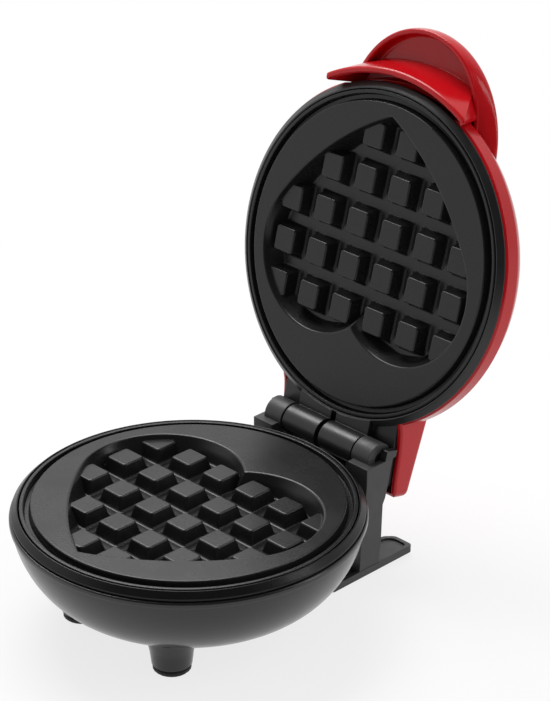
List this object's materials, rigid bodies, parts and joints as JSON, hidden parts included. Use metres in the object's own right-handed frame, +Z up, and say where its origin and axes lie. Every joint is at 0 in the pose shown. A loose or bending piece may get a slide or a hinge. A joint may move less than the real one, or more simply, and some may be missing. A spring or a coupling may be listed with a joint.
{
  "type": "mini waffle maker",
  "caption": "Round countertop waffle maker with heart-shaped grid plates, standing open: hinged red lid with a scooped front handle, dark bowl base, rear hinge stand.",
  "frame": {"origin": "on the supporting surface, at the middle of the bounding box", "axes": "+X along the hinge axis, +Y from the handle side towards the hinge, +Z up"},
  "size_m": [0.127, 0.1898, 0.1898],
  "materials": {
    "base_bowl": "glossy dark grey moulding",
    "base_collar": "satin black moulding",
    "plates": "cast aluminium with a charcoal non-stick coat",
    "elements": "plain steel heater tube",
    "reflectors": "pressed sheet, unpainted",
    "thermostat": "unglazed",
    "thermal_fuse": "plain steel can",
    "terminal_block": "unglazed",
    "cord_bushing": "matte black",
    "leads": "white sleeved wire",
    "feet": "matte black",
    "hinge_stand": "satin black moulding",
    "pins": "plain steel",
    "screws": "plain steel",
    "lid_shell": "glossy red moulding",
    "lid_frame": "satin black moulding",
    "indicator_lens": "clear red"
  },
  "bodies": {
    "base": {"base_bowl": "base_bowl", "base_collar": "base_collar", "lower_plate": "plates", "lower_element": "elements", "lower_reflector": "reflectors", "thermostat": "thermostat", "thermal_fuse": "thermal_fuse", "terminal_block": "terminal_block", "cord_bushing": "cord_bushing", "supply_lead_left": "leads", "supply_lead_right": "leads", "element_lead_left": "leads", "element_lead_right": "leads", "front_foot_left": "feet", "front_foot_right": "feet", "rear_pad_left": "feet", "rear_pad_right": "feet", "hinge_stand": "hinge_stand", "hinge_pin_left": "pins", "hinge_pin_right": "pins", "base_screw_1": "screws", "base_screw_2": "screws", "base_screw_3": "screws", "stand_screw_left": "screws", "stand_screw_right": "screws"},
    "lid": {"lid_shell": "lid_shell", "lid_frame": "lid_frame", "upper_plate": "plates", "upper_element": "elements", "upper_reflector": "reflectors", "upper_screw_1": "screws", "upper_screw_2": "screws", "upper_screw_3": "screws", "heel_screw_left": "screws", "heel_screw_right": "screws", "indicator_lens": "indicator_lens", "upper_lead_left": "leads", "upper_lead_right": "leads"}
  },
  "joints": [
    {"name": "lid_hinge", "type": "hinge", "parent": "base", "child": "lid", "pos_m": [0, 0.03814, 0.045], "axis": [1, 0, 0], "range_deg": [0, 104.4]}
  ]
}
